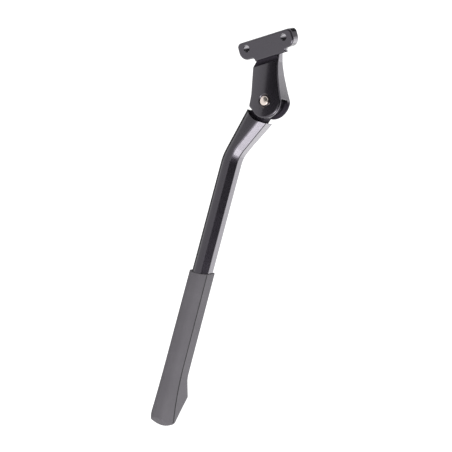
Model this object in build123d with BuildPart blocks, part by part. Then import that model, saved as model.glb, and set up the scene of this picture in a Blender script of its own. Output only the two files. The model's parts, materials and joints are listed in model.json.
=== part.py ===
"""Side-mounted bicycle kickstand: forged bracket, folding leg and sliding foot with a latch."""

import os
from math import cos, degrees, radians, sin, sqrt

from build123d import *

os.makedirs("parts", exist_ok=True)

# Sizes are in millimetres and angles in degrees. X points to the rear of the bicycle, Y from the
# outer side towards the bicycle and Z up. The origin is midway between the two bolt holes, on the
# face that meets the bicycle frame.

# Mounting plate
hole_spacing = 40.0
hole_diameter = 6.2
plate_length = 58.2
plate_thickness = 8.5
plate_above_holes = 6.0
plate_below_holes = 9.2
plate_upper_corner = 4.0
plate_lower_corner = 7.6
plate_edge = 1.6
tab_left = 15.4
tab_right = 17.6
tab_drop = 3.2
tab_round = 2.4
tab_depth = 4.0
plate_tilt = 19.0

# Pivot: its place in the frame, and how far its axis points up on the outer side
pivot_rearward = 5.2
pivot_outward = 9.0
pivot_below = 49.3
pivot_lean = 15.0

# Forked body, drawn square to the pivot axis and measured from it
slot_width = 9.2
front_cheek = 3.4
rear_cheek = 4.0
cheek_radius = 15.0
neck_top = 47.0
neck_left = 15.6
neck_right = 7.0
neck_height = 32.5
shoulder_left = 18.8
shoulder_height = 27.0
waist_left = 16.0
waist_height = 4.0
stop_corner_left = 16.5
stop_corner_drop = 6.2
stop_corner_angle = 215.0
flank_top_right = 8.8
flank_top_height = 23.0
flank_middle_right = 11.3
flank_middle_height = 13.7
flank_end_angle = 12.0
stop_corner_round = 2.6
shoulder_round = 2.6
neck_round = 2.0
waist_round = 20.0
flank_round = 8.0
crown_radius = 70.0
body_edge = 1.9
body_back_edge = 0.8
cove_radius = 2.3
cove_drop = 1.9
cove_outward = 8.6
rear_arc_angle = 1.0
rear_arc_right = 3.0
rear_arc_bottom = 13.4
rear_lip = 2.2

# Pivot pin, its recess and the washers beside the tongue
pin_diameter = 7.0
pin_clearance = 0.06
rivet_diameter = 8.2
rivet_height = 1.8
rivet_dome = 0.7
pin_seat_clearance = 0.02
pin_head_diameter = 11.0
pin_head_height = 1.2
pin_head_wall = 2.0
pin_head_room = 0.3
pin_head_edge = 0.6
recess_diameter = 9.4
recess_depth = 1.2
recess_taper = 50.0
washer_diameter = 18.0
washer_thickness = 0.4
washer_clearance = 0.1

# Tongue of the leg inside the fork, and how far the leg swings
tongue_radius = 11.2
tongue_half_width = 8.0
tongue_clearance = 0.5
stop_clearance = 0.3
swing_angle = 98.0

# Detent plunger and spring above the tongue
detent_bore = 5.6
detent_forward = 1.6
detent_bore_top = 26.0
plunger_clearance = 0.1
plunger_length = 7.6
plunger_lift = 0.2
plunger_nose_share = 0.8
notch_radius = 3.2
notch_depth = 1.2
detent_wire = 0.8
spring_gap = 0.05
wire_sides = 8
detent_turns = 4

# Leg
upper_angle = 29.5
lower_angle = 7.5
bend_distance = 57.0
leg_offset = 1.1
shoulder_radius = 18.2
shoulder_angle = 209.0
shoulder_top = 16.5
shoulder_half_width = 11.8
bar_half_width = 8.3
leg_depth = 13.3
leg_front = 8.2
bend_left = 0.7
bend_right = -1.3
bend_outer_radius = 40.0
bend_inner_radius = 22.0
leg_bevel = 5.6
leg_bevel_round = 5.0
leg_side_edge = 1.4
leg_back_edge = 1.5
shoulder_swell = 3.0
swell_end = 38.0
swell_round = 80.0
rim_distance = 102.0
bar_in_foot = 75.0

# Row of latch notches on the back of the bar
notch_pitch = 5.0
notch_count = 7
latch_notch_depth = 1.7
latch_notch_width = 7.4

# Foot
foot_length = 131.2
foot_side_wall = 0.85
foot_front_wall = 1.05
foot_back_wall = 1.0
foot_clearance = 0.25
foot_bevel = 4.9
foot_spread = 0.4
foot_flare = 2.9
flare_start = 78.0
toe_radius = 21.0
toe_depth = 8.8
heel_depth = 6.6
heel_height = 28.0
heel_rise = 43.6
heel_round = 3.0
heel_blend = 15.0
foot_front_round = 8.0
foot_edge = 1.4
rim_edge = 0.6
toe_left_corner = 7.0
toe_right_corner = 3.0
toe_left_rise = 3.2
toe_low_right = 3.0
nose_height = 5.0
nose_depth = 7.0
rim_rise = 3.8
cavity_depth = 95.0

# Latch housing on the back of the foot
housing_half_width = 4.6
housing_height = 4.3
housing_top = 10.0
housing_bottom = 54.0
housing_ramp = 6.0
housing_edge = 0.8
pocket_top = 16.8
pocket_bottom = 44.8
pocket_clearance = 0.2

# Latch lever, its tooth, pin and spring
lever_half_width = 3.0
lever_pivot_drop = 30.0
lever_end_clearance = 1.2
lever_sink = 0.3
lever_lower_thickness = 3.2
lever_upper_thickness = 1.8
barrel_radius = 1.8
pad_length = 7.0
pad_height = 0.8
pad_ridges = 3
tooth_drop = 40.3
tooth_thickness = 2.0
tooth_engagement = 1.3
tooth_side_room = 0.3
tooth_swing_room = 0.9
window_room = 1.6
latch_pin_diameter = 2.0
latch_pin_clearance = 0.1
latch_pin_end_gap = 0.2
latch_spring_drop = 21.0
latch_spring_diameter = 2.8
latch_spring_wire = 0.4
latch_spring_turns = 4
latch_spring_seat = 1.0

# Planes: the plate's mating face, the middle of the fork square to the pivot axis, and a cross section
plate_plane = Plane(
    origin=(0, 0, 0),
    x_dir=(cos(radians(plate_tilt)), 0, sin(radians(plate_tilt))),
    z_dir=(0, -1, 0),
)
pivot_plane = Plane(
    origin=(pivot_rearward, -pivot_outward, -pivot_below),
    x_dir=(1, 0, 0),
    z_dir=(0, -cos(radians(pivot_lean)), sin(radians(pivot_lean))),
)
cross_plane = Plane(origin=pivot_plane.origin, x_dir=pivot_plane.x_dir, z_dir=pivot_plane.y_dir)
pivot_axis = Axis(pivot_plane.origin, pivot_plane.z_dir)
upper_right = (
    pivot_plane.x_dir * cos(radians(upper_angle)) - pivot_plane.y_dir * sin(radians(upper_angle))
)
upper_width_axis = Axis(pivot_plane.origin, upper_right)
upper_side_plane = Plane(
    origin=pivot_plane.origin,
    x_dir=upper_right.cross(pivot_plane.z_dir),
    z_dir=upper_right,
)

body_front = slot_width / 2 + front_cheek
body_back = slot_width / 2 + rear_cheek
pin_back = slot_width / 2 + pin_head_wall
leg_back = leg_depth - leg_front
tongue_thickness = slot_width - 2 * washer_thickness - 2 * washer_clearance


def leaning(angle, distance, side):
    """Point at a distance down a line that leans forward by an angle, and to its right."""
    lean = radians(angle)
    return (
        -sin(lean) * distance + cos(lean) * side,
        -cos(lean) * distance - sin(lean) * side,
    )


def upper(distance, side):
    """Point on the leg's upper part, measured from the pivot."""
    return leaning(upper_angle, distance, side)


bend_point = upper(bend_distance, -leg_offset)


def lower(distance, side):
    """Point on the leg's lower part, measured from the bend."""
    u, v = leaning(lower_angle, distance, side)
    return (bend_point[0] + u, bend_point[1] + v)


def polar(radius, angle):
    """Point at an angle round the pivot."""
    return (radius * cos(radians(angle)), radius * sin(radians(angle)))


def round_corner(sketch, corner, radius):
    """Round the corner of a sketch that lies at a point."""
    fillet(sketch.vertices().sort_by_distance((*corner, 0))[0], radius)


# Planes of the foot: seen from the front, from the side (depth, height) and along the bar
foot_right = (
    pivot_plane.x_dir * cos(radians(lower_angle)) - pivot_plane.y_dir * sin(radians(lower_angle))
)
foot_origin = pivot_plane.from_local_coords((*lower(rim_distance, 0), 0))
foot_front_plane = Plane(origin=foot_origin, x_dir=foot_right, z_dir=pivot_plane.z_dir)
foot_side_plane = Plane(origin=foot_origin, x_dir=-pivot_plane.z_dir, z_dir=foot_right)
foot_cross_plane = Plane(origin=foot_origin, x_dir=foot_right, z_dir=foot_front_plane.y_dir)
width_axis = Axis(foot_origin, foot_right)
bar_axis = Axis(foot_origin, foot_front_plane.y_dir)


# Mounting plate of the bracket
with BuildPart() as plate:
    with BuildSketch(plate_plane) as plate_outline:
        with Locations((0, (plate_above_holes - plate_below_holes) / 2)):
            Rectangle(plate_length, plate_above_holes + plate_below_holes)
        fillet(plate_outline.vertices().group_by(Axis.Y)[-1], plate_upper_corner)
        fillet(plate_outline.vertices().group_by(Axis.Y)[0], plate_lower_corner)
    extrude(amount=plate_thickness)
    fillet(plate.faces().sort_by(Axis.Y)[-1].edges(), body_back_edge)
    with BuildSketch(plate_plane.offset(plate_thickness)) as front_outline:
        add(plate_outline.sketch_local)
        with Locations(((tab_right - tab_left) / 2, -plate_below_holes)):
            Rectangle(tab_left + tab_right, 2 * tab_drop)
        round_corner(front_outline, (-tab_left, -plate_below_holes), tab_round)
        round_corner(front_outline, (tab_right, -plate_below_holes), tab_round)
    extrude(amount=-tab_depth)
    fillet(plate.faces().sort_by(Axis.Y)[0].edges(), plate_edge)

# Bracket: the forked body, its front face crowned, its back cut level with the mating face
arc_start = polar(cheek_radius, stop_corner_angle)
arc_end = polar(cheek_radius, 360 + flank_end_angle)
arc_middle = polar(cheek_radius, (stop_corner_angle + 360 + flank_end_angle) / 2)

with BuildPart() as bracket:
    with BuildSketch(pivot_plane.offset(-body_back)) as outline:
        with BuildLine():
            ThreePointArc(arc_start, arc_middle, arc_end)
            ThreePointArc(
                arc_end,
                (flank_middle_right, flank_middle_height),
                (flank_top_right, flank_top_height),
            )
            Polyline(
                (flank_top_right, flank_top_height),
                (neck_right, neck_height),
                (neck_right, neck_top),
                (-neck_left, neck_top),
                (-neck_left, neck_height),
                (-shoulder_left, shoulder_height),
                (-waist_left, waist_height),
                (-stop_corner_left, -stop_corner_drop),
                arc_start,
            )
        make_face()
        round_corner(outline, (-stop_corner_left, -stop_corner_drop), stop_corner_round)
        round_corner(outline, (-neck_left, neck_height), neck_round)
        round_corner(outline, (-shoulder_left, shoulder_height), shoulder_round)
        round_corner(outline, (-waist_left, waist_height), waist_round)
        round_corner(outline, arc_end, flank_round)
        round_corner(outline, (flank_top_right, flank_top_height), waist_round)
        round_corner(outline, (neck_right, neck_height), waist_round)
    extrude(amount=body_front + body_back)
    with BuildSketch(cross_plane.offset(-2 * cheek_radius)):
        with Locations((0, crown_radius - body_front)):
            Circle(crown_radius)
    extrude(amount=2 * cheek_radius + neck_top, mode=Mode.INTERSECT)
    crown = bracket.faces().filter_by(GeomType.CYLINDER).sort_by(Axis.Y)[0]
    fillet(crown.edges().filter_by(lambda e: e.center().Z < -plate_below_holes), body_edge)
    split(bisect_by=Plane.XZ, keep=Keep.TOP)

    # Lower edge of the rear cheek, a flatter arc than the front cheek's
    with BuildSketch(pivot_plane.offset(-slot_width / 2)):
        with BuildLine():
            rear_arc = ThreePointArc(
                polar(cheek_radius, rear_arc_angle),
                (rear_arc_right, -rear_arc_bottom),
                arc_start,
            )
            Polyline(
                rear_arc @ 1,
                (-cheek_radius, -2 * cheek_radius),
                (2 * cheek_radius, -2 * cheek_radius),
                (2 * cheek_radius, (rear_arc @ 0).Y),
                rear_arc @ 0,
            )
        make_face()
    extrude(amount=-rear_cheek, mode=Mode.SUBTRACT)

    # Cove between the body's front and the plate
    cove_height = -plate_below_holes - tab_drop - cove_drop
    cove_centre = plate_plane.from_local_coords((0, cove_height, cove_outward))
    with BuildSketch(Plane(origin=cove_centre, z_dir=plate_plane.x_dir)):
        Circle(cove_radius)
    extrude(amount=plate_length / 2, both=True, mode=Mode.SUBTRACT)
    add(plate.part)

    # Slot for the tongue: a round pocket, open over the angle that the leg swings through
    with BuildSketch(pivot_plane):
        Circle(tongue_radius + tongue_clearance)
        with BuildLine():
            Polyline(
                upper(0, -tongue_half_width - stop_clearance),
                upper(2 * cheek_radius, -tongue_half_width - stop_clearance),
                leaning(upper_angle - swing_angle / 2, 4 * cheek_radius, 0),
                leaning(upper_angle - swing_angle, 2 * cheek_radius, tongue_half_width + stop_clearance),
                leaning(upper_angle - swing_angle, 0, tongue_half_width + stop_clearance),
                close=True,
            )
        make_face()
    extrude(amount=slot_width / 2, both=True, mode=Mode.SUBTRACT)

    # Slope along the slot side of the rear cheek's lower edge
    rear_centre = pivot_plane.from_local_coords(rear_arc.arc_center)
    rear_outward = pivot_plane.from_local_coords(rear_arc @ 0) - rear_centre
    rear_section = Plane(rear_centre, x_dir=rear_outward, z_dir=rear_outward.cross(pivot_plane.z_dir))
    with BuildSketch(rear_section):
        with BuildLine():
            Polyline(
                (rear_arc.radius - rear_lip, -slot_width / 2),
                (rear_arc.radius + rear_lip, -slot_width / 2),
                (rear_arc.radius, -slot_width / 2 - rear_lip),
                close=True,
            )
        make_face()
    revolve(
        axis=Axis(rear_centre, -pivot_plane.z_dir),
        revolution_arc=degrees(rear_arc.length / rear_arc.radius),
        mode=Mode.SUBTRACT,
    )

    # Blind bore for the detent, the pin's bore and its recess, and the two bolt holes
    with BuildSketch(cross_plane):
        with Locations((0, -detent_forward)):
            Circle(detent_bore / 2)
    extrude(amount=detent_bore_top, mode=Mode.SUBTRACT)
    with BuildSketch(pivot_plane):
        Circle(pin_diameter / 2 + pin_seat_clearance)
    extrude(amount=2 * body_front, both=True, mode=Mode.SUBTRACT)
    with BuildSketch(pivot_plane.offset(body_front - recess_depth)):
        Circle(recess_diameter / 2)
    extrude(amount=2 * recess_depth, taper=-recess_taper, mode=Mode.SUBTRACT)
    with BuildSketch(pivot_plane.offset(-pin_back)):
        Circle(pin_head_diameter / 2 + pin_head_room)
    extrude(amount=-rear_cheek, mode=Mode.SUBTRACT)
    with BuildSketch(plate_plane):
        with GridLocations(hole_spacing, 0, 2, 1):
            Circle(hole_diameter / 2)
    extrude(amount=plate_thickness, mode=Mode.SUBTRACT)

# Pivot pin: riveted over in the recess, with a low head at the back
with BuildPart() as pivot_pin:
    with BuildSketch(pivot_plane.offset(-pin_back)):
        Circle(pin_diameter / 2)
    extrude(amount=pin_back + body_front - recess_depth)
    with BuildSketch(pivot_plane.offset(body_front - recess_depth)):
        Circle(rivet_diameter / 2)
    extrude(amount=rivet_height)
    fillet(pivot_pin.faces().sort_by(pivot_axis)[-1].edges(), rivet_dome)
    with BuildSketch(pivot_plane.offset(-pin_back)):
        Circle(pin_head_diameter / 2)
    extrude(amount=-pin_head_height)
    fillet(pivot_pin.faces().sort_by(pivot_axis)[0].edges(), pin_head_edge)

# Thrust washers on the inner faces of the two cheeks
with BuildPart() as thrust_washer_front:
    with BuildSketch(pivot_plane.offset(slot_width / 2)):
        Circle(washer_diameter / 2)
        Circle(pin_diameter / 2 + pin_clearance, mode=Mode.SUBTRACT)
    extrude(amount=-washer_thickness)

with BuildPart() as thrust_washer_rear:
    with BuildSketch(pivot_plane.offset(-slot_width / 2)):
        Circle(washer_diameter / 2)
        Circle(pin_diameter / 2 + pin_clearance, mode=Mode.SUBTRACT)
    extrude(amount=washer_thickness)

# Detent plunger: a pin with a round nose, which stands just clear of the tongue
plunger_foot = tongue_radius + plunger_lift
plunger_radius = detent_bore / 2 - plunger_clearance
with BuildPart() as detent_plunger:
    with BuildSketch(cross_plane.offset(plunger_foot)):
        with Locations((0, -detent_forward)):
            Circle(plunger_radius)
    extrude(amount=plunger_length)
    fillet(detent_plunger.faces().sort_by(Axis.Z)[0].edges(), plunger_nose_share * plunger_radius)


def coil_spring(plane, height, outer_diameter, wire, turns):
    """Coil of drawn wire that stands on a plane. Flats stand for the round of the thin wire."""
    with BuildPart() as spring:
        with BuildLine() as path:
            Helix(
                (height - wire) / turns,
                height - wire,
                (outer_diameter - wire) / 2,
                center=plane.offset(wire / 2).origin,
                direction=plane.z_dir,
            )
        with BuildSketch(Plane(origin=path.line @ 0, z_dir=path.line % 0)):
            RegularPolygon(wire / 2, wire_sides)
        sweep()
    return spring.part


spring_foot = plunger_foot + plunger_length + spring_gap
detent_spring = coil_spring(
    Plane(
        origin=cross_plane.from_local_coords((0, -detent_forward, spring_foot)),
        x_dir=cross_plane.x_dir,
        z_dir=cross_plane.z_dir,
    ),
    detent_bore_top - spring_foot,
    2 * plunger_radius,
    detent_wire,
    detent_turns,
)

# Leg: tapered upper part, bend and straight bar, with bevelled front edges
shoulder_right = shoulder_half_width - leg_offset
shoulder_start = polar(shoulder_radius, shoulder_angle)
shoulder_end = upper(sqrt(shoulder_radius**2 - shoulder_right**2), shoulder_right)
leg_end = rim_distance + bar_in_foot
with BuildPart() as leg:
    with BuildSketch(pivot_plane.offset(leg_front)) as leg_outline:
        with BuildLine():
            Polyline(
                shoulder_start,
                upper(shoulder_top, -leg_offset - shoulder_half_width),
                lower(bend_left, -bar_half_width),
                lower(leg_end, -bar_half_width),
                lower(leg_end, bar_half_width),
                lower(bend_right, bar_half_width),
                shoulder_end,
            )
            RadiusArc(shoulder_end, shoulder_start, shoulder_radius)
        make_face()
        round_corner(leg_outline, lower(bend_left, -bar_half_width), bend_outer_radius)
        round_corner(leg_outline, lower(bend_right, bar_half_width), bend_inner_radius)
    extrude(amount=-leg_depth - shoulder_swell)
    with BuildSketch(upper_side_plane) as back_profile:
        with BuildLine():
            Polyline(
                (0, leg_back + shoulder_swell),
                (swell_end, leg_back),
                (2 * leg_end, leg_back),
                (2 * leg_end, 2 * leg_depth),
                (0, 2 * leg_depth),
                close=True,
            )
        make_face()
        round_corner(back_profile, (swell_end, leg_back), swell_round)
    extrude(amount=leg_end, both=True, mode=Mode.SUBTRACT)
    chamfer(leg.faces().sort_by(pivot_axis)[-1].edges().sort_by(Axis.Z)[1:-2], leg_bevel)
    fillet(leg.faces().sort_by(pivot_axis)[-1].edges().sort_by(Axis.Z)[1:-2], leg_bevel_round)
    bevel_edge = leg_front - leg_bevel
    fillet(leg.edges().filter_by_position(pivot_axis, bevel_edge - 0.1, bevel_edge + 0.1), leg_side_edge)
    back_edges = leg.faces().sort_by(pivot_axis)[:3].edges()
    cross_edges = back_edges.filter_by(upper_width_axis) + back_edges.filter_by(width_axis)
    fillet((back_edges - cross_edges).sort_by(Axis.Z)[:-2], leg_back_edge)

    # Tongue inside the fork, with the pin's bore and a groove for the detent at each end of the swing
    with BuildSketch(pivot_plane):
        Circle(tongue_radius)
        with BuildLine():
            Polyline(
                upper(0, -tongue_half_width),
                upper(shoulder_radius + leg_bevel, -tongue_half_width),
                upper(shoulder_radius + leg_bevel, tongue_half_width),
                upper(0, tongue_half_width),
                close=True,
            )
        make_face()
    extrude(amount=tongue_thickness / 2, both=True)
    with BuildSketch(pivot_plane):
        Circle(pin_diameter / 2 + pin_clearance)
        with Locations(
            polar(tongue_radius + notch_radius - notch_depth, 90),
            polar(tongue_radius + notch_radius - notch_depth, 90 - swing_angle),
        ):
            Circle(notch_radius)
    extrude(amount=tongue_thickness, both=True, mode=Mode.SUBTRACT)

    # Row of notches for the latch on the back of the bar
    latch_notch_length = tooth_thickness + tooth_side_room + tooth_swing_room
    latch_notch_drop = tooth_drop + (tooth_swing_room - tooth_side_room) / 2
    with BuildSketch(foot_front_plane.offset(-leg_back)):
        with Locations((0, -latch_notch_drop)):
            with GridLocations(0, notch_pitch, 1, notch_count):
                Rectangle(latch_notch_width, latch_notch_length)
    extrude(amount=latch_notch_depth, mode=Mode.SUBTRACT)

# Foot: a sleeve that widens to the toe, with a heel at the back
foot_front = leg_front + foot_clearance + foot_front_wall
foot_back = leg_back + foot_clearance + foot_back_wall
rim_half_width = bar_half_width + foot_clearance + foot_side_wall
toe_half_width = rim_half_width + foot_spread + foot_flare
toe_side_drop = foot_length - toe_radius + sqrt(toe_radius**2 - toe_half_width**2)
toe_left = (-toe_half_width, toe_left_rise - toe_side_drop)
toe_right = (toe_half_width, -toe_side_drop)
sole_slope = (foot_front + foot_back + heel_depth - toe_depth) / heel_height


def bevelled_section(half_width, front, bevel, back):
    """Outline of a bar's section with two bevels at the front, which lies on the negative side."""
    return [
        (bevel - half_width, -front),
        (half_width - bevel, -front),
        (half_width, bevel - front),
        (half_width, back),
        (-half_width, back),
        (-half_width, bevel - front),
    ]


# Latch housing on the back of the foot
housing_face = foot_back + housing_height
lever_face = housing_face - lever_sink
lever_pivot_depth = lever_face - barrel_radius
with BuildPart() as housing:
    with BuildSketch(foot_side_plane):
        with BuildLine():
            Polyline(
                (foot_back - foot_back_wall, -housing_top),
                (foot_back, -housing_top),
                (housing_face, -housing_top - housing_ramp),
                (housing_face, housing_ramp - housing_bottom),
                (foot_back, -housing_bottom),
                (foot_back - foot_back_wall, -housing_bottom),
                close=True,
            )
        make_face()
    extrude(amount=housing_half_width, both=True)
    fillet(housing.faces().sort_by(pivot_axis)[0].edges(), housing_edge)

with BuildPart() as foot:
    with BuildSketch(foot_front_plane.offset(foot_front)) as foot_outline:
        with BuildLine():
            rim_line = Line((-rim_half_width, rim_rise), (rim_half_width, rim_rise))
            left_line = Line(rim_line @ 0, (-rim_half_width - foot_spread, -flare_start))
            right_line = Line(rim_line @ 1, (rim_half_width + foot_spread, -flare_start))
            TangentArc(left_line @ 1, toe_left, tangent=left_line % 1)
            TangentArc(right_line @ 1, toe_right, tangent=right_line % 1)
            ThreePointArc(toe_left, (toe_low_right, -foot_length), toe_right)
        make_face()
        round_corner(foot_outline, toe_left, toe_left_corner)
        round_corner(foot_outline, toe_right, toe_right_corner)
    extrude(amount=-foot_front - foot_back - heel_depth)
    with BuildSketch(foot_cross_plane.offset(rim_rise)) as foot_section:
        with BuildLine():
            Polyline(
                *bevelled_section(
                    2 * toe_half_width - rim_half_width,
                    foot_front,
                    foot_bevel + 2 * (toe_half_width - rim_half_width),
                    foot_back + 2 * heel_depth,
                ),
                close=True,
            )
        make_face()
        fillet(foot_section.vertices().group_by(Axis.Y)[0], foot_front_round)
    extrude(amount=-foot_length - rim_rise, mode=Mode.INTERSECT)
    with BuildSketch(foot_side_plane) as foot_profile:
        with BuildLine():
            Polyline(
                (-foot_front, 0),
                (-2 * foot_front, 0),
                (-2 * foot_front, nose_height - foot_length),
                (-foot_front, nose_height - foot_length),
                (nose_depth - foot_front, -foot_length),
                (toe_depth - foot_front - sole_slope * toe_depth, -foot_length - toe_depth),
                (foot_back + heel_depth, heel_height - foot_length),
                (foot_back, heel_rise - foot_length),
                (foot_back, rim_rise),
                close=True,
            )
        make_face()
        round_corner(foot_profile, (foot_back + heel_depth, heel_height - foot_length), heel_round)
        round_corner(foot_profile, (foot_back, heel_rise - foot_length), heel_blend)
    extrude(amount=2 * toe_half_width, both=True, mode=Mode.INTERSECT)
    straight_edges = (
        foot.edges().filter_by(width_axis)
        + foot.edges().filter_by(bar_axis)
        + foot.edges().filter_by(pivot_axis)
    )
    rim_edges = foot.faces().sort_by(bar_axis)[-1].edges()
    fillet(foot.edges() - straight_edges - rim_edges, foot_edge)
    fillet(foot.faces().sort_by(bar_axis)[-1].edges(), rim_edge)
    add(housing.part)

    # Cavity for the bar, pocket for the lever, window for its tooth and holes for its pin
    with BuildSketch(foot_cross_plane.offset(rim_rise)):
        with BuildLine():
            Polyline(
                *bevelled_section(
                    bar_half_width + foot_clearance,
                    leg_front + foot_clearance,
                    leg_bevel + (2 - sqrt(2)) * foot_clearance,
                    leg_back + foot_clearance,
                ),
                close=True,
            )
        make_face()
    extrude(amount=-cavity_depth - rim_rise, mode=Mode.SUBTRACT)
    with BuildSketch(foot_side_plane):
        with BuildLine():
            Polyline(
                (foot_back, -pocket_top),
                (housing_face + pad_height, -pocket_top),
                (housing_face + pad_height, -pocket_bottom),
                (foot_back, -pocket_bottom),
                close=True,
            )
        make_face()
        with Locations((leg_back + (foot_back - leg_back) / 2, -tooth_drop)):
            Rectangle(foot_back - leg_back, tooth_thickness + 2 * window_room)
    extrude(amount=lever_half_width + pocket_clearance, both=True, mode=Mode.SUBTRACT)
    with BuildSketch(foot_side_plane):
        with Locations((lever_pivot_depth, -lever_pivot_drop)):
            Circle(latch_pin_diameter / 2 + pin_seat_clearance)
    extrude(amount=2 * housing_half_width, both=True, mode=Mode.SUBTRACT)

# Latch lever: a rocker with a thumb pad at its upper end and a tooth at its lower end
lever_top = -pocket_top - lever_end_clearance
lever_bottom = lever_end_clearance - pocket_bottom
with BuildPart() as latch_lever:
    with BuildSketch(foot_side_plane):
        with BuildLine():
            Polyline(
                (lever_face - lever_upper_thickness, lever_top),
                (lever_face + pad_height, lever_top),
                (lever_face + pad_height, lever_top - pad_length),
                (lever_face, lever_top - pad_length - pad_height),
                (lever_face, lever_bottom),
                (lever_face - lever_lower_thickness, lever_bottom),
                (lever_face - lever_lower_thickness, tooth_thickness / -2 - tooth_drop),
                (leg_back - tooth_engagement, tooth_thickness / -2 - tooth_drop),
                (leg_back - tooth_engagement, tooth_thickness / 2 - tooth_drop),
                (lever_face - lever_lower_thickness, tooth_thickness / 2 - tooth_drop),
                (lever_face - lever_lower_thickness, -lever_pivot_drop),
                (lever_face - lever_upper_thickness, -lever_pivot_drop),
                close=True,
            )
        make_face()
        with Locations((lever_pivot_depth, -lever_pivot_drop)):
            Circle(barrel_radius)
            Circle(latch_pin_diameter / 2 + latch_pin_clearance, mode=Mode.SUBTRACT)
        with Locations((lever_face + pad_height, lever_top - pad_length / 2)):
            with GridLocations(0, pad_length / pad_ridges, 1, pad_ridges):
                Circle(pad_height / 2, mode=Mode.SUBTRACT)
    extrude(amount=lever_half_width, both=True)
    with BuildSketch(foot_front_plane.offset(lever_upper_thickness - lever_face)):
        with Locations((0, -latch_spring_drop)):
            Circle(latch_spring_diameter / 2 + pocket_clearance)
    extrude(amount=-latch_spring_seat, mode=Mode.SUBTRACT)

# Latch pin across the housing
with BuildPart() as latch_pin:
    with BuildSketch(foot_side_plane):
        with Locations((lever_pivot_depth, -lever_pivot_drop)):
            Circle(latch_pin_diameter / 2)
    extrude(amount=housing_half_width - latch_pin_end_gap, both=True)

latch_spring = coil_spring(
    Plane(
        origin=foot_front_plane.from_local_coords((0, -latch_spring_drop, -foot_back)),
        x_dir=foot_right,
        z_dir=-foot_front_plane.z_dir,
    ),
    lever_face - lever_upper_thickness + latch_spring_seat - foot_back - spring_gap,
    latch_spring_diameter,
    latch_spring_wire,
    latch_spring_turns,
)

pieces = {
    "bracket": bracket.part,
    "pivot_pin": pivot_pin.part,
    "thrust_washer_front": thrust_washer_front.part,
    "thrust_washer_rear": thrust_washer_rear.part,
    "detent_plunger": detent_plunger.part,
    "detent_spring": detent_spring,
    "leg": leg.part,
    "foot": foot.part,
    "latch_lever": latch_lever.part,
    "latch_pin": latch_pin.part,
    "latch_spring": latch_spring,
}
for name, piece in pieces.items():
    piece.label = name
    export_step(piece, f"parts/{name}.step")
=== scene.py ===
# %% [markdown]
# A bicycle kickstand, dressed for a studio photograph
#
# The kickstand comes out of CAD as a set of exact solids: a forged bracket, a folding leg, a
# moulded foot and the small pieces that make them work. This lesson loads them, gives each one the
# finish of the real material, and lights them the way a product photographer would. Nothing is
# moved: every piece already sits where the CAD put it, in metres.

# %% Load the solids
import json
import math

import bpy
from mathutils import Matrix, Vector


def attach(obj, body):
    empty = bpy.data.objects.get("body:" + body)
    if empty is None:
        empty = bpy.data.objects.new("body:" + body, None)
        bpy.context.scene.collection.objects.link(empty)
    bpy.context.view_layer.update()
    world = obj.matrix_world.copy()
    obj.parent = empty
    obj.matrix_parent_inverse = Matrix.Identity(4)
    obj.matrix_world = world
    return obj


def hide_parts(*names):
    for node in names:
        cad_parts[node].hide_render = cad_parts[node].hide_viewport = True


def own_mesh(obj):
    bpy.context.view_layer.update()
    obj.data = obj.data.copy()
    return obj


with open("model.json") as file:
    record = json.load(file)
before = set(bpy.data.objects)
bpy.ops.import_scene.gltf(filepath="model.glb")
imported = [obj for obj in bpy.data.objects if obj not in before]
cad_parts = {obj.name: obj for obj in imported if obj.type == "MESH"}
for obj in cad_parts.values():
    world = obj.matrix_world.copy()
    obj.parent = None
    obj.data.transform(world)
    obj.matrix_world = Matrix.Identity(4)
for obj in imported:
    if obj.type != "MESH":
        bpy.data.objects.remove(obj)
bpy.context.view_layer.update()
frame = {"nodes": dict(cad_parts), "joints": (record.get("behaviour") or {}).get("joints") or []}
nodes = frame["nodes"]
joints = {joint["name"]: joint for joint in frame["joints"]}
scene = bpy.context.scene
millimetre = 0.001
print("pieces:", ", ".join(sorted(nodes)))

# %% [markdown]
# The camera comes first, because every later choice is judged through it. A photographer shoots a
# long thin product from far away with a long lens, so that the toe and the plate keep the same
# scale. Three facts fix the view: the angle round the object, the height of the camera, and where
# the middle of the plate lands in the picture. The size of one pixel follows from the 40 mm
# between the two bolt holes.

# %% Camera
picture_side = 452
pixel = 0.8382 * millimetre
view_azimuth = math.radians(36)
view_elevation = math.radians(10)
camera_distance = 5.0
plate_front = Vector((0, -8.5, 0)) * millimetre
plate_in_picture = (264.75, 43.65)
depth_of_middle = -18 * millimetre

to_right = Vector((math.cos(view_azimuth), math.sin(view_azimuth), 0))
to_camera = Vector((
    math.sin(view_azimuth) * math.cos(view_elevation),
    -math.cos(view_azimuth) * math.cos(view_elevation),
    math.sin(view_elevation),
))
to_top = to_camera.cross(to_right)
picture_middle = (
    plate_front
    + to_right * (picture_side / 2 - plate_in_picture[0]) * pixel
    + to_top * (plate_in_picture[1] - picture_side / 2) * pixel
    + to_camera * depth_of_middle
)
camera_data = bpy.data.cameras.new("camera")
camera_data.sensor_width = 36
camera_data.lens = camera_data.sensor_width * camera_distance / (picture_side * pixel)
camera_data.clip_end = 100
camera = bpy.data.objects.new("camera", camera_data)
camera.location = picture_middle + to_camera * camera_distance
camera.rotation_euler = (-to_camera).to_track_quat("-Z", "Y").to_euler()
scene.collection.objects.link(camera)
scene.camera = camera
scene.view_settings.view_transform = "Standard"
print("lens in mm:", round(camera_data.lens))

# %% [markdown]
# Colours are written the way a colour picker shows them, as sRGB hex values. Cycles computes with
# linear light, so one function converts them. A second small function adds a shader node, sets its
# values and links its inputs, which keeps every material below to a few readable lines.

# %% Helpers for materials
def linear(hex_colour):
    """Linear RGBA of an sRGB hex colour such as #808080."""
    shares = [int(hex_colour[i:i + 2], 16) / 255 for i in (1, 3, 5)]
    return [s / 12.92 if s <= 0.04045 else ((s + 0.055) / 1.055) ** 2.4 for s in shares] + [1]


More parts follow.
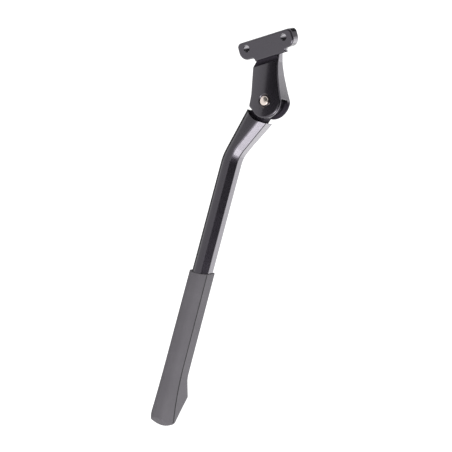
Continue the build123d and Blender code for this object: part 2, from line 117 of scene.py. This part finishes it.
def add_node(tree, kind, values=None, links=None):
    """Add a node, set its properties or inputs by name or number, and link outputs to its inputs."""
    node = tree.nodes.new(kind)
    for name, value in (values or {}).items():
        if isinstance(name, int) or name in node.inputs:
            node.inputs[name].default_value = value
        else:
            setattr(node, name, value)
    for name, output in (links or {}).items():
        tree.links.new(output, node.inputs[name])
    return node


def start_material(name):
    """A new material with an empty node tree, and the coordinates in metres that patterns use."""
    material = bpy.data.materials.new(name)
    material.use_nodes = True
    tree = material.node_tree
    tree.nodes.clear()
    place = add_node(tree, "ShaderNodeTexCoord").outputs["Object"]
    return material, tree, place


def per_metre(size_mm):
    """Scale of a pattern whose grains are this many millimetres apart."""
    return 1 / (size_mm * millimetre)


print("mid grey #808080 is", round(linear("#808080")[0], 3), "in linear light")

# %% [markdown]
# Bracket and leg share one material, a satin black coat. It starts with a mask. Inside the fork,
# and in the groove below the plate, the forging isn't polished before it is coated, so the coat
# stays dull there. The fork's inside is all that lies close to the pivot, below its top and between
# the cheeks. A Mapping node of type Texture turns the coordinates into the pivot's own. The pivot
# leans out of the vertical only about the X axis, so one angle is enough. Each Map Range node is
# one soft limit: it is 1 inside and 0 past it, and its upper value is the mask that came before, so
# the four limits multiply.

# %% Mask of the fork's inside
pivot = Vector(joints["leg_fold"]["pos_m"])
pivot_axis = Vector(joints["leg_fold"]["axis"])
pivot_turn = (math.acos(pivot_axis.z), 0, 0)
fork_reach_mm = 18.4
fork_top_mm = 3.5
fork_fade_mm = 2.0
cheek_inside_mm = 4.7
cheek_back_mm = -8.3
soft_limit_mm = 0.2

black_coat, tree, place = start_material("satin_black_coat_on_forged_aluminium")
from_pivot = add_node(tree, "ShaderNodeMapping",
                      {"vector_type": "TEXTURE", "Location": pivot, "Rotation": pivot_turn},
                      {"Vector": place})
along = add_node(tree, "ShaderNodeSeparateXYZ", None, {"Vector": from_pivot.outputs["Vector"]})
across_pivot = add_node(tree, "ShaderNodeVectorMath", {"operation": "MULTIPLY", 1: (1, 1, 0)},
                        {0: from_pivot.outputs["Vector"]})
reach = add_node(tree, "ShaderNodeVectorMath", {"operation": "LENGTH"},
                 {0: across_pivot.outputs["Vector"]})
near_pivot = add_node(tree, "ShaderNodeMapRange",
                      {"From Min": (fork_reach_mm + soft_limit_mm) * millimetre,
                       "From Max": fork_reach_mm * millimetre},
                      {"Value": reach.outputs["Value"]})
below_top = add_node(tree, "ShaderNodeMapRange",
                     {"From Min": fork_top_mm * millimetre,
                      "From Max": (fork_top_mm - fork_fade_mm) * millimetre},
                     {"Value": along.outputs["Y"], "To Max": near_pivot.outputs["Result"]})
behind_front = add_node(tree, "ShaderNodeMapRange",
                        {"From Min": (cheek_inside_mm + soft_limit_mm) * millimetre,
                         "From Max": cheek_inside_mm * millimetre},
                        {"Value": along.outputs["Z"], "To Max": below_top.outputs["Result"]})
in_fork = add_node(tree, "ShaderNodeMapRange",
                   {"From Min": (cheek_back_mm - soft_limit_mm) * millimetre,
                    "From Max": cheek_back_mm * millimetre},
                   {"Value": along.outputs["Z"], "To Max": behind_front.outputs["Result"]})
print("dull coat within", fork_reach_mm, "mm of the pivot")

# %% [markdown]
# The groove is simpler: a round channel that runs along the plate. In the plate's own axes it is
# all that lies close to one line, whatever its place along the plate. The larger of the two masks
# is the recess in which the coat stays dull.

# %% Mask of the groove below the plate
plate_tilt = math.radians(19)
groove_below_mm = 14.3
groove_outward_mm = 8.6
groove_radius_mm = 2.4

down_plate = Vector((math.sin(plate_tilt), 0, -math.cos(plate_tilt)))
groove_middle = (down_plate * groove_below_mm + Vector((0, -groove_outward_mm, 0))) * millimetre
from_groove = add_node(tree, "ShaderNodeMapping",
                       {"vector_type": "TEXTURE", "Location": groove_middle,
                        "Rotation": (0, -plate_tilt, 0)},
                       {"Vector": place})
across_groove = add_node(tree, "ShaderNodeVectorMath", {"operation": "MULTIPLY", 1: (0, 1, 1)},
                         {0: from_groove.outputs["Vector"]})
off_groove = add_node(tree, "ShaderNodeVectorMath", {"operation": "LENGTH"},
                      {0: across_groove.outputs["Vector"]})
in_groove = add_node(tree, "ShaderNodeMapRange",
                     {"From Min": (groove_radius_mm + soft_limit_mm) * millimetre,
                      "From Max": groove_radius_mm * millimetre},
                     {"Value": off_groove.outputs["Value"]})
recess = add_node(tree, "ShaderNodeMath", {"operation": "MAXIMUM"},
                  {0: in_fork.outputs["Result"], 1: in_groove.outputs["Result"]})
print("dull groove", groove_below_mm, "mm below the bolt holes")

# %% [markdown]
# The coat itself is an electro-dipped black on forged aluminium, under a thin clear layer: its
# colour is almost nothing, and what the eye sees is the room in it. So the roughness matters more
# than the colour. Dip coats dry with a faint orange peel, a ripple of a millimetre or two, and with
# slow changes of gloss over a centimetre or more. The grit in the black is finer than a pixel here
# and shows only in a closer view. In the recess the coat is rough and has no clear layer.

# %% Satin black coat on forged aluminium
coat_peel_mm = 1.4
coat_cloud_mm = 14
coat_grit_mm = 0.5
dull_roughness = 0.75

peel = add_node(tree, "ShaderNodeTexNoise", {"Scale": per_metre(coat_peel_mm), "Detail": 2},
                {"Vector": place})
cloud = add_node(tree, "ShaderNodeTexNoise", {"Scale": per_metre(coat_cloud_mm), "Detail": 3},
                 {"Vector": place})
grit = add_node(tree, "ShaderNodeTexNoise", {"Scale": per_metre(coat_grit_mm), "Detail": 1},
                {"Vector": place})
coat_colour = add_node(tree, "ShaderNodeValToRGB", None, {"Fac": grit.outputs["Fac"]})
coat_colour.color_ramp.elements[0].color = linear("#0a0a0b")
coat_colour.color_ramp.elements[1].color = linear("#121113")
coat_gloss = add_node(tree, "ShaderNodeMapRange",
                      {"From Min": 0.3, "From Max": 0.7, "To Min": 0.24, "To Max": 0.28},
                      {"Value": cloud.outputs["Fac"]})
dulled = add_node(tree, "ShaderNodeMath", {"operation": "MULTIPLY", 1: dull_roughness},
                  {0: recess.outputs["Value"]})
coat_roughness = add_node(tree, "ShaderNodeMath", {"operation": "MAXIMUM"},
                          {0: coat_gloss.outputs["Result"], 1: dulled.outputs["Value"]})
clear_layer = add_node(tree, "ShaderNodeMath", {"operation": "SUBTRACT", 0: 1.0},
                       {1: recess.outputs["Value"]})
coat_ripple = add_node(tree, "ShaderNodeBump", {"Strength": 0.05, "Distance": 0.1 * millimetre},
                       {"Height": peel.outputs["Fac"]})
coat_shader = add_node(tree, "ShaderNodeBsdfPrincipled",
                       {"IOR": 1.5, "Specular Tint": linear("#efdeff"),
                        "Coat Roughness": 0.15, "Coat IOR": 1.5},
                       {"Base Color": coat_colour.outputs["Color"],
                        "Roughness": coat_roughness.outputs["Value"],
                        "Coat Weight": clear_layer.outputs["Value"],
                        "Normal": coat_ripple.outputs["Normal"],
                        "Coat Normal": coat_ripple.outputs["Normal"]})
add_node(tree, "ShaderNodeOutputMaterial", None, {"Surface": coat_shader.outputs["BSDF"]})
print("made", black_coat.name)

# %% [markdown]
# The pivot pin and the latch pin are nickel-plated steel. Metal has no colour of its own under the
# reflection: the base colour tints the reflection itself, here a warm silver. The hammer that
# closed the rivet left its end slightly domed and uneven. One bump gives the dome, whose height
# falls with the square of the distance from the pin's axis, and a second one adds shallow dents
# about two millimetres apart, which break up the highlight.

# %% Plated steel of the pins
hammer_mark_mm = 2.2
rivet_radius_mm = 4.7
rivet_dome_radius_mm = 18
plated_steel, tree, place = start_material("nickel_plated_steel")
marks = add_node(tree, "ShaderNodeTexNoise", {"Scale": per_metre(hammer_mark_mm), "Detail": 1.5},
                 {"Vector": place})
tarnish = add_node(tree, "ShaderNodeValToRGB", None, {"Fac": marks.outputs["Fac"]})
tarnish.color_ramp.elements[0].color = linear("#e4d3c8")
tarnish.color_ramp.elements[1].color = linear("#f6ece6")
from_pin = add_node(tree, "ShaderNodeMapping",
                    {"vector_type": "TEXTURE", "Location": pivot, "Rotation": pivot_turn},
                    {"Vector": place})
across_pin = add_node(tree, "ShaderNodeVectorMath", {"operation": "MULTIPLY", 1: (1, 1, 0)},
                      {0: from_pin.outputs["Vector"]})
off_axis = add_node(tree, "ShaderNodeVectorMath", {"operation": "LENGTH"},
                    {0: across_pin.outputs["Vector"]})
on_end = add_node(tree, "ShaderNodeMath", {"operation": "MINIMUM", 1: rivet_radius_mm * millimetre},
                  {0: off_axis.outputs["Value"]})
square = add_node(tree, "ShaderNodeMath", {"operation": "MULTIPLY"},
                  {0: on_end.outputs["Value"], 1: on_end.outputs["Value"]})
fall = add_node(tree, "ShaderNodeMath",
                {"operation": "MULTIPLY", 1: -0.5 * per_metre(rivet_dome_radius_mm)},
                {0: square.outputs["Value"]})
dome = add_node(tree, "ShaderNodeBump", {"Distance": 1.0}, {"Height": fall.outputs["Value"]})
dents = add_node(tree, "ShaderNodeBump", {"Strength": 0.25, "Distance": 0.2 * millimetre},
                 {"Height": marks.outputs["Fac"], "Normal": dome.outputs["Normal"]})
plated_shader = add_node(tree, "ShaderNodeBsdfPrincipled", {"Metallic": 1.0, "Roughness": 0.22},
                         {"Base Color": tarnish.outputs["Color"],
                          "Normal": dents.outputs["Normal"]})
add_node(tree, "ShaderNodeOutputMaterial", None, {"Surface": plated_shader.outputs["BSDF"]})
print("made", plated_steel.name)

# %% [markdown]
# Painted shade: a dark line runs along the foot's right edge, where the rounded crease between the
# front and the side would lie in shade. The edge is a thin rounded strip between the front and the
# side, so a mask can find it by the direction in which it faces: the front's own direction, turned
# most of the way to the side. The Normal output of the Texture Coordinate node is in the foot's own
# axes, so the painted shade stays in place when the leg swings.

# %% Painted shade along the foot's edge
painted_shade_turn = math.radians(66)
painted_shade_inside = math.radians(16)
painted_shade_outside = math.radians(20)
painted_shade_share = 0.2

slide_axis = Vector(joints["foot_slide"]["axis"])
outward = Vector((0, -1, 0))
foot_front = slide_axis.cross(outward).cross(slide_axis).normalized()
foot_side = foot_front.cross(slide_axis)
painted_shade_normal = foot_front * math.cos(painted_shade_turn) + foot_side * math.sin(painted_shade_turn)

grey_plastic, tree, place = start_material("moulded_grey_plastic")
facing = add_node(tree, "ShaderNodeTexCoord")
near_painted_shade = add_node(tree, "ShaderNodeVectorMath", {"operation": "DOT_PRODUCT", 1: painted_shade_normal},
                     {0: facing.outputs["Normal"]})
painted_shade_tone = add_node(tree, "ShaderNodeMapRange",
                     {"From Min": math.cos(painted_shade_outside), "From Max": math.cos(painted_shade_inside),
                      "To Min": 1.0, "To Max": painted_shade_share},
                     {"Value": near_painted_shade.outputs["Value"]})
# Along the edge, the painted shade keeps this share of the plastic's tone.
print("the seam keeps", painted_shade_share, "of the plastic's tone")

# %% [markdown]
# The plastic itself is a tough grey, with the fine matt texture that is etched into the mould so
# that scratches don't show. Plastic scatters most of its light back from inside, so the base colour
# does the work here and the reflection is broad and weak. The etched grain is about 0.3 mm on the
# real foot. It is drawn at 0.9 mm, because finer grain would vanish between pixels.

# %% Matt grey plastic of the foot
etched_grain_mm = 0.9
flow_mark_mm = 25
grain = add_node(tree, "ShaderNodeTexNoise",
                 {"Scale": per_metre(etched_grain_mm), "Detail": 2, "Roughness": 0.6},
                 {"Vector": place})
flow = add_node(tree, "ShaderNodeTexNoise", {"Scale": per_metre(flow_mark_mm), "Detail": 2},
                {"Vector": place})
flow_tone = add_node(tree, "ShaderNodeValToRGB", None, {"Fac": flow.outputs["Fac"]})
flow_tone.color_ramp.elements[0].position = 0.3
flow_tone.color_ramp.elements[0].color = linear("#58555a")
flow_tone.color_ramp.elements[1].position = 0.7
flow_tone.color_ramp.elements[1].color = linear("#5f5c61")
plastic_gloss = add_node(tree, "ShaderNodeMapRange", {"To Min": 0.62, "To Max": 0.74},
                         {"Value": grain.outputs["Fac"]})
plastic_grain = add_node(tree, "ShaderNodeBump", {"Strength": 0.12, "Distance": 0.15 * millimetre},
                         {"Height": grain.outputs["Fac"]})
# The plastic's base colour is the flow tone darkened by the painted shade along the edge.
plastic_tone_with_painted_shade = add_node(tree, "ShaderNodeVectorMath", {"operation": "SCALE"},
                        {0: flow_tone.outputs["Color"], "Scale": painted_shade_tone.outputs["Result"]})
plastic_shader = add_node(tree, "ShaderNodeBsdfPrincipled", {"IOR": 1.5},
                          {"Base Color": plastic_tone_with_painted_shade.outputs["Vector"],
                           "Roughness": plastic_gloss.outputs["Result"],
                           "Normal": plastic_grain.outputs["Normal"]})
add_node(tree, "ShaderNodeOutputMaterial", None, {"Surface": plastic_shader.outputs["BSDF"]})
print("made", grey_plastic.name)

# %% [markdown]
# The latch lever is the same kind of plastic in near black, so that the part which the rider
# presses stands out from the foot. A thumb polishes it, so it is a little glossier.

# %% Black plastic of the latch lever
lever_grain_mm = 0.8
black_plastic, tree, place = start_material("moulded_black_plastic")
lever_grain = add_node(tree, "ShaderNodeTexNoise",
                       {"Scale": per_metre(lever_grain_mm), "Detail": 2}, {"Vector": place})
lever_tone = add_node(tree, "ShaderNodeValToRGB", None, {"Fac": lever_grain.outputs["Fac"]})
lever_tone.color_ramp.elements[0].color = linear("#1c1b1d")
lever_tone.color_ramp.elements[1].color = linear("#242326")
lever_bump = add_node(tree, "ShaderNodeBump", {"Strength": 0.1, "Distance": 0.1 * millimetre},
                      {"Height": lever_grain.outputs["Fac"]})
lever_shader = add_node(tree, "ShaderNodeBsdfPrincipled", {"IOR": 1.5, "Roughness": 0.42},
                        {"Base Color": lever_tone.outputs["Color"],
                         "Normal": lever_bump.outputs["Normal"]})
add_node(tree, "ShaderNodeOutputMaterial", None, {"Surface": lever_shader.outputs["BSDF"]})
print("made", black_plastic.name)

# %% [markdown]
# Two more materials are hidden inside: bright steel for the detent plunger and the springs, and
# natural nylon for the washers. They show when the model is taken apart, so they get real finishes
# too. Steel that was ground or drawn has fine lines, made here by stretching a noise along one
# direction. Natural nylon is off-white and slightly cloudy.

# %% Steel and nylon inside
ground_line_mm = 0.25
line_squeeze = 0.05
ground_steel, tree, place = start_material("ground_steel")
stretched = add_node(tree, "ShaderNodeMapping", {"Scale": (1, 1, line_squeeze)}, {"Vector": place})
lines = add_node(tree, "ShaderNodeTexNoise", {"Scale": per_metre(ground_line_mm), "Detail": 2},
                 {"Vector": stretched.outputs["Vector"]})
line_tone = add_node(tree, "ShaderNodeValToRGB", None, {"Fac": lines.outputs["Fac"]})
line_tone.color_ramp.elements[0].color = linear("#a3a3a6")
line_tone.color_ramp.elements[1].color = linear("#c4c4c6")
ground_shader = add_node(tree, "ShaderNodeBsdfPrincipled", {"Metallic": 1.0, "Roughness": 0.32},
                         {"Base Color": line_tone.outputs["Color"]})
add_node(tree, "ShaderNodeOutputMaterial", None, {"Surface": ground_shader.outputs["BSDF"]})

nylon_cloud_mm = 3
natural_nylon, tree, place = start_material("natural_nylon")
milky = add_node(tree, "ShaderNodeTexNoise", {"Scale": per_metre(nylon_cloud_mm), "Detail": 2},
                 {"Vector": place})
milky_tone = add_node(tree, "ShaderNodeValToRGB", None, {"Fac": milky.outputs["Fac"]})
milky_tone.color_ramp.elements[0].color = linear("#d6d2c6")
milky_tone.color_ramp.elements[1].color = linear("#e4e1d8")
nylon_shader = add_node(tree, "ShaderNodeBsdfPrincipled", {"IOR": 1.53, "Roughness": 0.4},
                        {"Base Color": milky_tone.outputs["Color"]})
add_node(tree, "ShaderNodeOutputMaterial", None, {"Surface": nylon_shader.outputs["BSDF"]})
print("made", ground_steel.name, "and", natural_nylon.name)

# %% [markdown]
# Each CAD solid now gets its finish. The solids arrive with one material slot, so the old material
# is replaced and nothing else about the object changes.

# %% Put the finishes on the pieces
finishes = {
    "bracket": black_coat,
    "leg": black_coat,
    "pivot_pin": plated_steel,
    "latch_pin": plated_steel,
    "foot": grey_plastic,
    "latch_lever": black_plastic,
    "detent_plunger": ground_steel,
    "detent_spring": ground_steel,
    "latch_spring": ground_steel,
    "thrust_washer_front": natural_nylon,
    "thrust_washer_rear": natural_nylon,
}
for name, material in finishes.items():
    nodes[name].data.materials.clear()
    nodes[name].data.materials.append(material)
print("finished", len(finishes), "pieces of", len(nodes))

# %% [markdown]
# Pressing the latch lever shortens the small spring below it. A CAD solid is rigid, so a copy of
# the spring stands for it here. The copy is attached to the foot and gets a mesh of its own, and
# the solid spring is hidden.

solid_spring = nodes["latch_spring"]
spring = bpy.data.objects.new("latch_spring_coil", solid_spring.data.copy())
scene.collection.objects.link(spring)

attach(spring, "stand_foot")
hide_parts("latch_spring")
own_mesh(spring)

# %% [markdown]
# The kickstand hangs from its mount, so the floor lies well below it and its soft shadow stays
# out of the picture. The floor is a plain pale disc. Camera rays and mirror rays see it a little
# brighter than it is lit, which makes the paper white, and the shadow on it stays.

# %% Floor and white surroundings
floor_drop = 1.6
floor_radius = 16.0
paper_glow = 0.5
room_light = 0.9


def seen_directly(tree):
    """1 for camera, mirror and see-through rays, 0 for the rays that carry diffuse light."""
    rays = add_node(tree, "ShaderNodeLightPath").outputs
    seen = add_node(tree, "ShaderNodeMath", {"operation": "MAXIMUM"},
                    {0: rays["Is Camera Ray"], 1: rays["Is Glossy Ray"]})
    return add_node(tree, "ShaderNodeMath", {"operation": "MAXIMUM"},
                    {0: seen.outputs["Value"], 1: rays["Is Transmission Ray"]}).outputs["Value"]


paper, tree, _ = start_material("white_paper")
glow = add_node(tree, "ShaderNodeMath", {"operation": "MULTIPLY", 1: paper_glow},
                {0: seen_directly(tree)})
fibres = add_node(tree, "ShaderNodeBsdfDiffuse", {"Color": linear("#ececec")})
shine = add_node(tree, "ShaderNodeEmission", {"Color": linear("#ffffff")},
                 {"Strength": glow.outputs["Value"]})
both = add_node(tree, "ShaderNodeAddShader", None, {0: fibres.outputs["BSDF"],
                                                    1: shine.outputs["Emission"]})
add_node(tree, "ShaderNodeOutputMaterial", None, {"Surface": both.outputs["Shader"]})

bpy.ops.mesh.primitive_circle_add(vertices=96, radius=floor_radius, fill_type="NGON",
                                  location=(0, 0, -floor_drop))
floor = bpy.context.object
floor.name = "floor"
floor.data.materials.append(paper)

world = bpy.data.worlds.new("white_room")
scene.world = world
world.use_nodes = True
tree = world.node_tree
tree.nodes.clear()
strength = add_node(tree, "ShaderNodeMapRange", {"To Min": room_light, "To Max": 1.0},
                    {"Value": seen_directly(tree)})
room = add_node(tree, "ShaderNodeBackground", {"Color": linear("#ffffff")},
                {"Strength": strength.outputs["Result"]})
add_node(tree, "ShaderNodeOutputWorld", None, {"Surface": room.outputs["Background"]})
print("floor", floor_drop, "m below the plate")

# %% [markdown]
# A glossy black product shows its lamps, so each lamp is placed by asking what the camera sees
# mirrored in one facet. Three soft boxes behind on the right, brighter towards the floor, give the
# pale side faces. One low in front puts the white band on the upper bevel. A dim strip above it and
# a dim box beside it let the band fade out. Directions point from the kickstand to the lamp, and
# distances and sizes are in metres. The camera doesn't see the lamps.

# %% Soft boxes
aim = Vector((-15, -25, -110)) * millimetre


def soft_box(name, direction, distance, width, height, radiance):
    """Rectangular area lamp that faces the kickstand, as bright as the given radiance."""
    data = bpy.data.lights.new(name, "AREA")
    data.shape = "RECTANGLE"
    data.size = width
    data.size_y = height
    data.energy = radiance * math.pi * width * height
    lamp = bpy.data.objects.new(name, data)
    away = Vector(direction).normalized()
    lamp.location = aim + away * distance
    lamp.rotation_euler = away.to_track_quat("Z", "Y").to_euler()
    lamp.visible_camera = False
    scene.collection.objects.link(lamp)
    print(name, "of", round(data.energy, 1), "W")


soft_box("high_side_lamp", direction=(0.51, 0.85, 0.07), distance=1.1,
         width=0.50, height=0.32, radiance=1.3)
soft_box("side_lamp", direction=(0.49, 0.82, -0.30), distance=1.1,
         width=0.50, height=0.55, radiance=2.3)
soft_box("low_side_lamp", direction=(0.34, 0.65, -0.68), distance=1.1,
         width=0.50, height=0.40, radiance=2.5)
soft_box("low_front_lamp", direction=(0.60, -0.66, -0.45), distance=0.9,
         width=0.40, height=0.30, radiance=9.6)
soft_box("fade_lamp", direction=(0.66, -0.70, -0.26), distance=0.75,
         width=0.36, height=0.10, radiance=2.6)
soft_box("front_fill", direction=(0.24, -0.90, -0.36), distance=0.9,
         width=0.34, height=0.28, radiance=2.4)

# %% [markdown]
# Dark cards do the opposite of lamps: a facet that mirrors one stays dark. The front card darkens
# the right half of the bracket, the right card the lower bevel, the back card the bolt holes and
# the left card the thin left edge. The camera doesn't see the cards either.

# %% Dark cards
card_material, tree, _ = start_material("grey_card")
card_surface = add_node(tree, "ShaderNodeBsdfDiffuse", {"Color": linear("#505050")})
add_node(tree, "ShaderNodeOutputMaterial", None, {"Surface": card_surface.outputs["BSDF"]})


def dark_card(name, direction, distance, width, height):
    """Dark card that faces the kickstand, so that facets which mirror it stay dark."""
    away = Vector(direction).normalized()
    bpy.ops.mesh.primitive_plane_add(size=1, location=aim + away * distance)
    panel = bpy.context.object
    panel.name = name
    panel.rotation_euler = away.to_track_quat("Z", "Y").to_euler()
    panel.scale = (width, height, 1)
    panel.visible_camera = False
    panel.data.materials.append(card_material)
    print(name, "of", width, "by", height, "m")


dark_card("front_card", direction=(0.05, -0.70, 0.71), distance=0.33, width=0.50, height=0.25)
dark_card("right_card", direction=(0.93, -0.34, 0.12), distance=0.8, width=0.92, height=0.66)
dark_card("back_card", direction=(0.16, 0.80, 0.57), distance=0.5, width=0.40, height=0.30)
dark_card("left_card", direction=(-0.84, 0.54, -0.08), distance=0.9, width=0.82, height=1.0)
